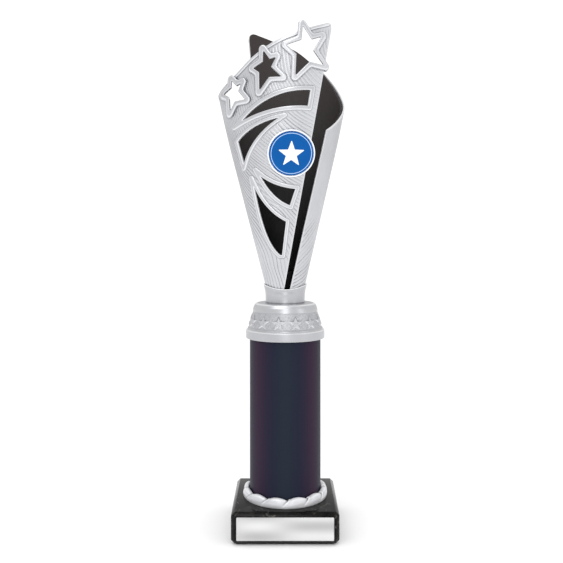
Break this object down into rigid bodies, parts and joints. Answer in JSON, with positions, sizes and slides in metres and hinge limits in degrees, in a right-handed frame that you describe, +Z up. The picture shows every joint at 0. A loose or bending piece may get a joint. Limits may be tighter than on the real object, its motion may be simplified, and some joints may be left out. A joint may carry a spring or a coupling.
{
  "type": "column trophy",
  "caption": "Column trophy: square stone base with a name plate, foil-wrapped tube, collar, and a rolled open cone cup with star frames, cut-outs and a round centre disc.",
  "frame": {"origin": "centre of the base's underside, on the surface the trophy stands on and on the centre line of the rod", "axes": "+Z up along the centre rod; the name plate and the centre disc face -Y; +X is to the right when the front is seen"},
  "size_m": [0.0804, 0.1001, 0.3246],
  "materials": {
    "marble": "polished black marble with fine grey veins",
    "felt": "thin black felt pad",
    "plate": "blank silver name plate, satin",
    "tape": "self-adhesive film",
    "steel": "zinc-plated",
    "tube_plastic": "dark moulded tube",
    "purple_film": "dark blue and purple foil, iridescent",
    "silver_plastic": "satin silver metallised plastic",
    "black_plastic": "gloss black",
    "white_plastic": "white rim",
    "blue_print": "printed blue disc"
  },
  "bodies": {
    "root": {"base_felt": "felt", "base_block": "marble", "name_tape": "tape", "name_plate": "plate", "base_washer": "steel", "base_nut": "steel", "centre_rod": "steel", "tube_disc": "black_plastic", "column_tube": "tube_plastic", "column_film": "purple_film", "base_ring": "silver_plastic", "collar": "silver_plastic", "stem_socket": "silver_plastic", "cone_foot": "black_plastic", "foot_washer": "steel", "foot_nut": "steel", "cone_liner": "black_plastic", "cone_shell": "silver_plastic", "insert_bezel": "white_plastic", "insert_disc": "blue_print"}
  },
  "joints": []
}
